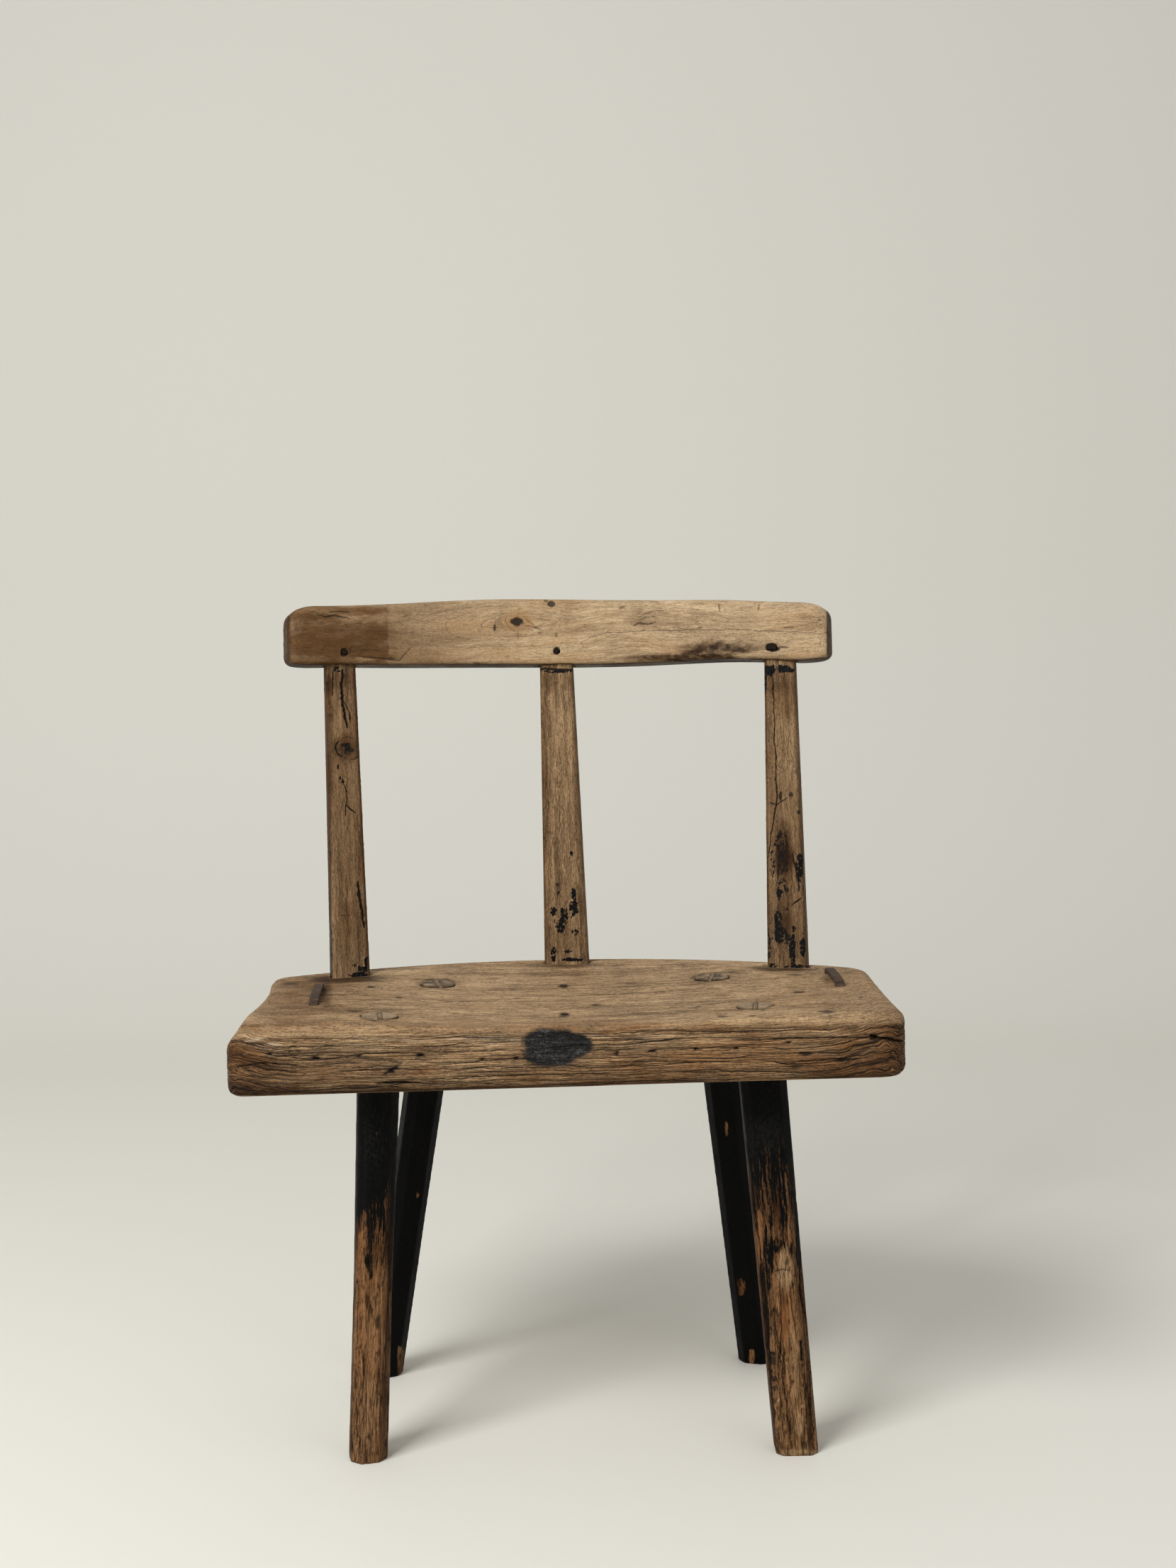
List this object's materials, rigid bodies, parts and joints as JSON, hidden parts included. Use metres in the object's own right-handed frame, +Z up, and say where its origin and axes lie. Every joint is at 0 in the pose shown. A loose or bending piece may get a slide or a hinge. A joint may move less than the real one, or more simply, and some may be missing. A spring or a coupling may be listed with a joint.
{
  "type": "plank-seat stick-back chair",
  "caption": "Low rustic country chair: thick dished plank seat on splayed hewn legs, flat back slats and a bowed crest rail, with worn dark paint on the legs.",
  "frame": {"origin": "on the floor, under the middle of the chair's box", "axes": "+Z up; the sitter faces -Y; +X to the right as seen from the front"},
  "size_m": [0.5888, 0.3776, 0.7723],
  "materials": {
    "seat_wood": "weathered, dry, deeply fissured along the front edge",
    "leg_wood": "worn black paint over reddish brown wood",
    "slat_wood": "smooth worn wood with remains of black paint",
    "crest_wood": "smooth hand-worn light wood",
    "tenon_wedge_wood": "dry end grain",
    "peg_wood": "dark, dry",
    "forged_iron": "rust brown forged iron, matte"
  },
  "bodies": {
    "root": {"centre_back_slat": "slat_wood", "centre_crest_peg": "peg_wood", "crest_rail": "crest_wood", "front_left_leg": "leg_wood", "front_left_leg_wedge": "tenon_wedge_wood", "front_right_leg": "leg_wood", "front_right_leg_wedge": "tenon_wedge_wood", "front_seat_nail": "forged_iron", "left_back_slat": "slat_wood", "left_crest_peg": "peg_wood", "left_seat_staple": "forged_iron", "rear_left_leg": "leg_wood", "rear_left_leg_wedge": "tenon_wedge_wood", "rear_right_leg": "leg_wood", "rear_right_leg_wedge": "tenon_wedge_wood", "rear_seat_nail": "forged_iron", "right_back_slat": "slat_wood", "right_crest_peg": "peg_wood", "right_seat_staple": "forged_iron", "seat_plank": "seat_wood"}
  },
  "joints": []
}
